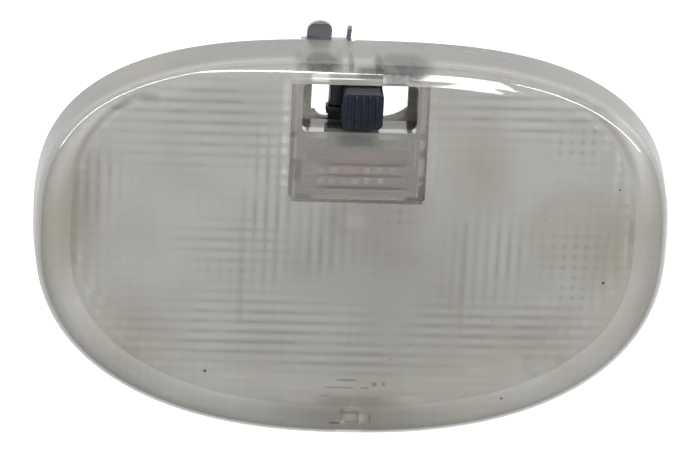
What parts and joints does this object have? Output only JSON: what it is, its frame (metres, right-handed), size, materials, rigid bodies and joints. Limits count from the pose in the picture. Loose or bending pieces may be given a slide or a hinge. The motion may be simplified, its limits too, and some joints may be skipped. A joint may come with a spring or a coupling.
{
  "type": "car dome light",
  "caption": "Oval clear lens dome light with pillow optics, a slide switch in a window, a festoon bulb and a hinged bright reflector closing its back.",
  "frame": {"origin": "centre of the lens in the plane of the headliner, where the rear edge of the skirt seats", "axes": "+X along the long side, +Y towards the switch and the retaining spring, +Z out of the lens into the cabin"},
  "size_m": [0.15, 0.1003, 0.0323],
  "materials": {
    "clear_plastic": "gloss",
    "black_plastic": "satin",
    "beige_plastic": "matte",
    "brass": "satin",
    "steel": "satin",
    "bright_pan": "polished",
    "bulb_glass": "gloss"
  },
  "bodies": {
    "lens_body": {"lens": "clear_plastic", "switch_carrier": "beige_plastic", "carrier_screws": "steel", "contact_common": "brass", "contact_ground": "brass", "contact_door": "brass", "contact_live": "brass", "holder_rivets": "brass", "connector_housing": "black_plastic", "connector_terminals": "bright_pan", "retaining_spring": "steel", "spring_rivets": "steel", "hinge_bracket": "steel", "bracket_rivets": "steel", "hinge_pin": "steel", "bulb_glass": "bulb_glass", "bulb_cap_left": "bright_pan", "bulb_cap_right": "bright_pan", "bulb_filament": "steel", "reflector_latch": "steel"},
    "reflector_body": {"reflector": "bright_pan", "heat_shield": "bright_pan", "shield_rivets": "bright_pan"},
    "switch_body": {"switch_slider": "black_plastic", "wiper_contact": "brass", "wiper_rivets": "brass", "detent_spring": "steel", "detent_ball": "steel"}
  },
  "joints": [
    {"name": "switch_slide", "type": "slide", "parent": "lens_body", "child": "switch_body", "axis": [1, 0, 0], "range_m": [-0.0055, 0.0055]},
    {"name": "reflector_hinge", "type": "hinge", "parent": "lens_body", "child": "reflector_body", "pos_m": [-0.0645, 0, -0.0103], "axis": [0, 1, 0], "range_deg": [0, 100]}
  ]
}
